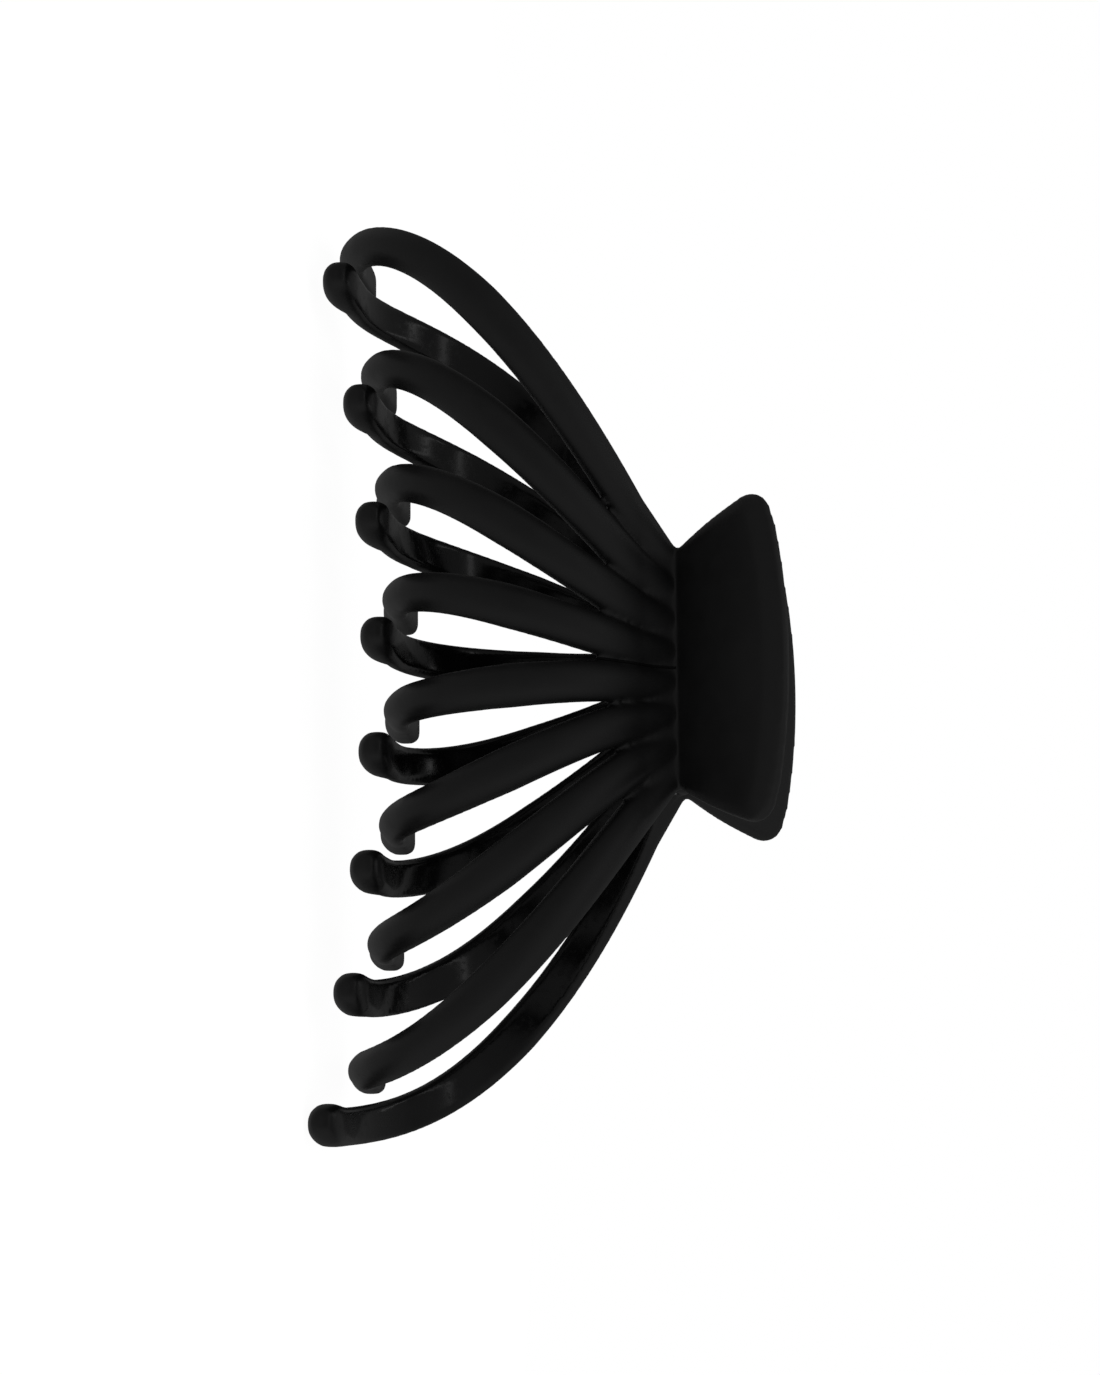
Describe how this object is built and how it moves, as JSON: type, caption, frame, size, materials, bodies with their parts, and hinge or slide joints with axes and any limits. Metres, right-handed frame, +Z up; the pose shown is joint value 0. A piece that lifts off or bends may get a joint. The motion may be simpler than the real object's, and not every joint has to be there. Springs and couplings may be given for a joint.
{
  "type": "claw clip",
  "caption": "Large open-tine claw clip for hair: two matching combs of long round-bent tines, hinged on a steel pin under flared thumb plates and sprung shut.",
  "frame": {"origin": "middle of the footprint, on the surface that the tine tips rest on", "axes": "X along the hinge pin, Z up through the hinge to the thumb plates, -Y towards the front comb"},
  "size_m": [0.1134, 0.0354, 0.0575],
  "materials": {
    "comb_plastic": "soft-touch matte outside, smoother moulded surface inside",
    "pin_steel": "drawn wire",
    "spring_steel": "drawn spring wire"
  },
  "bodies": {
    "front_comb": {"front_plate": "comb_plastic", "front_hinge": "comb_plastic", "front_root": "comb_plastic", "front_tine_1": "comb_plastic", "front_tine_2": "comb_plastic", "front_tine_3": "comb_plastic", "front_tine_4": "comb_plastic", "front_tine_5": "comb_plastic", "front_tine_6": "comb_plastic", "front_tine_7": "comb_plastic", "front_tine_8": "comb_plastic", "hinge_pin": "pin_steel", "torsion_spring": "spring_steel"},
    "rear_comb": {"rear_plate": "comb_plastic", "rear_hinge": "comb_plastic", "rear_root": "comb_plastic", "rear_tine_1": "comb_plastic", "rear_tine_2": "comb_plastic", "rear_tine_3": "comb_plastic", "rear_tine_4": "comb_plastic", "rear_tine_5": "comb_plastic", "rear_tine_6": "comb_plastic", "rear_tine_7": "comb_plastic", "rear_tine_8": "comb_plastic"}
  },
  "joints": [
    {"name": "clip_hinge", "type": "hinge", "parent": "front_comb", "child": "rear_comb", "pos_m": [0, 0, 0.04243], "axis": [1, 0, 0], "range_deg": [0, 75], "stiffness_Nm_per_rad": 0.1, "springref_deg": -40.11, "deforming": ["torsion_spring"]}
  ]
}
